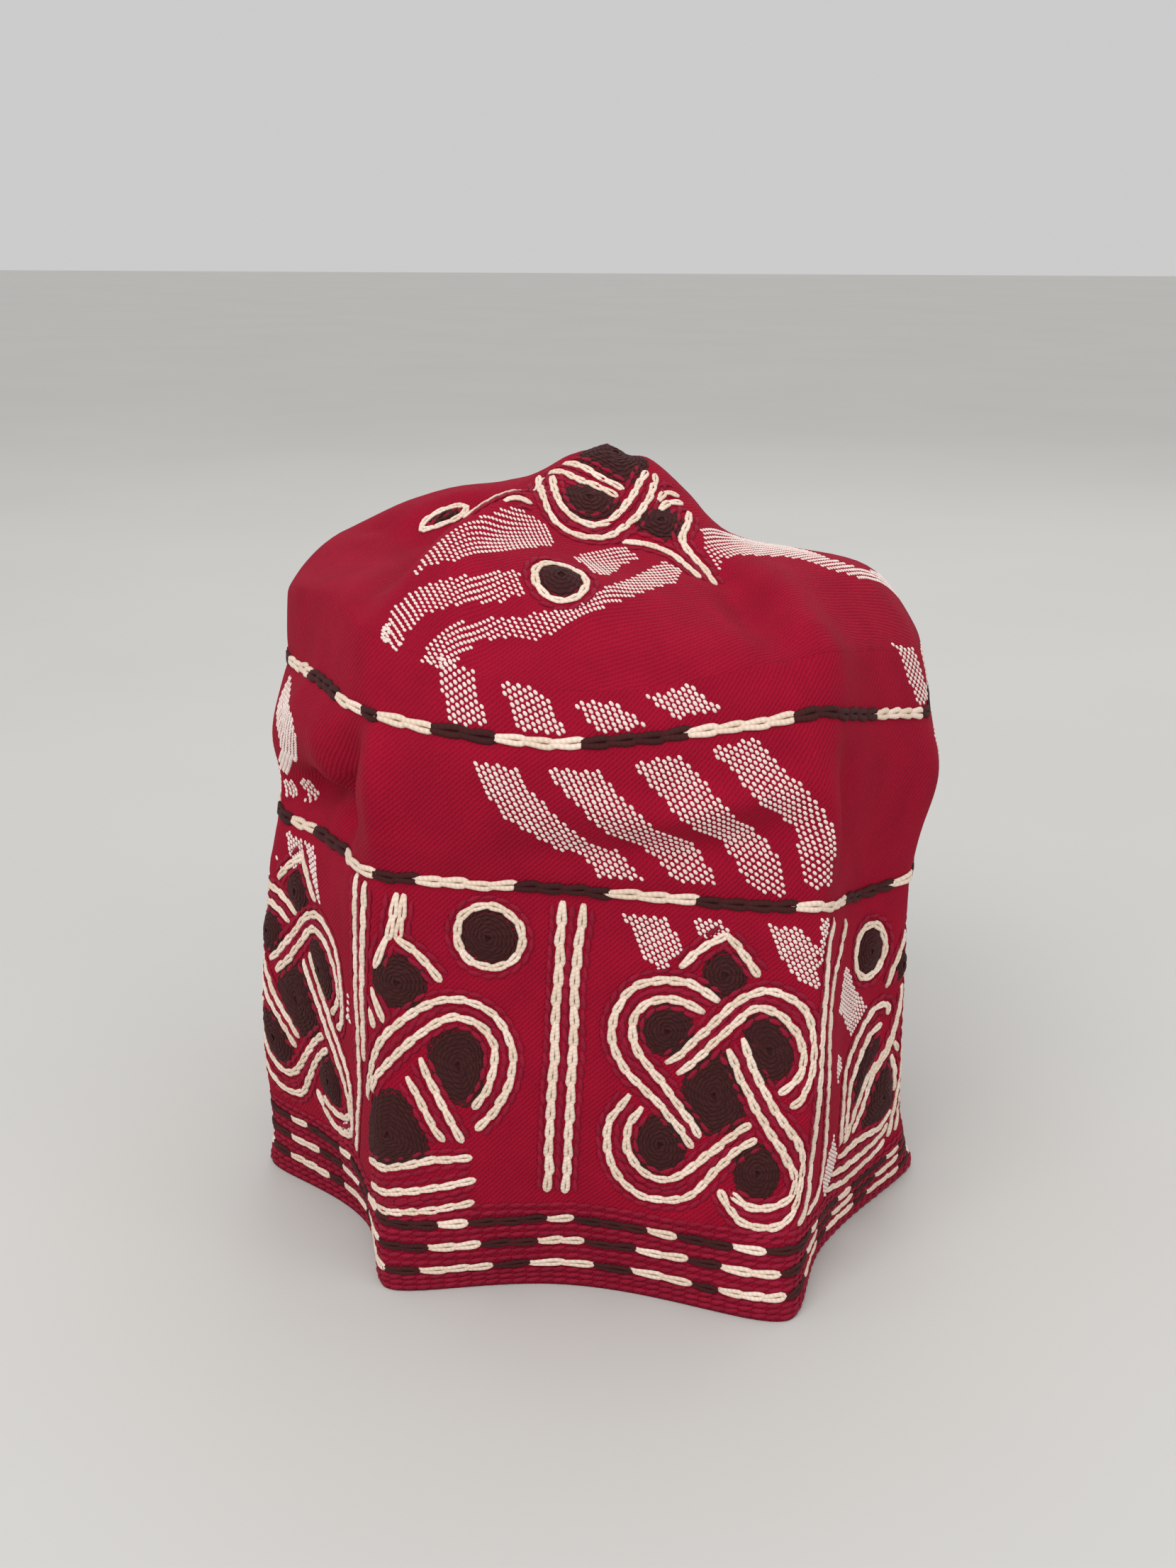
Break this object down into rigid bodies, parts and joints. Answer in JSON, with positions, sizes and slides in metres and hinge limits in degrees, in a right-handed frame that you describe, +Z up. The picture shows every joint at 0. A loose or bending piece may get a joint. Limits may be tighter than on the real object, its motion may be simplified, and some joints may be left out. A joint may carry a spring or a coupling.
{
  "type": "fila cap",
  "caption": "Tall soft cap of red woven cloth with chain stitch embroidery, a blunt crown peak, a puffed shoulder and a stiff hem that it stands on.",
  "frame": {"origin": "middle of the cap's bounding box, on the surface that its hem stands on", "axes": "+Z up to the peak of the crown, -Y out of the front face, +X to the right of a viewer who faces the front"},
  "size_m": [0.191, 0.1832, 0.2105],
  "materials": {
    "ground_cloth": "matt crimson twill",
    "hem_cloth": "crimson stitching over turned cloth",
    "cream_thread": "soft cream yarn",
    "dark_thread": "soft dark brown yarn",
    "red_thread": "soft crimson yarn",
    "pale_float": "woven pale pink weft floats"
  },
  "bodies": {
    "root": {"crown_panel": "ground_cloth", "side_wall": "ground_cloth", "hem_border": "hem_cloth"}
  },
  "joints": []
}
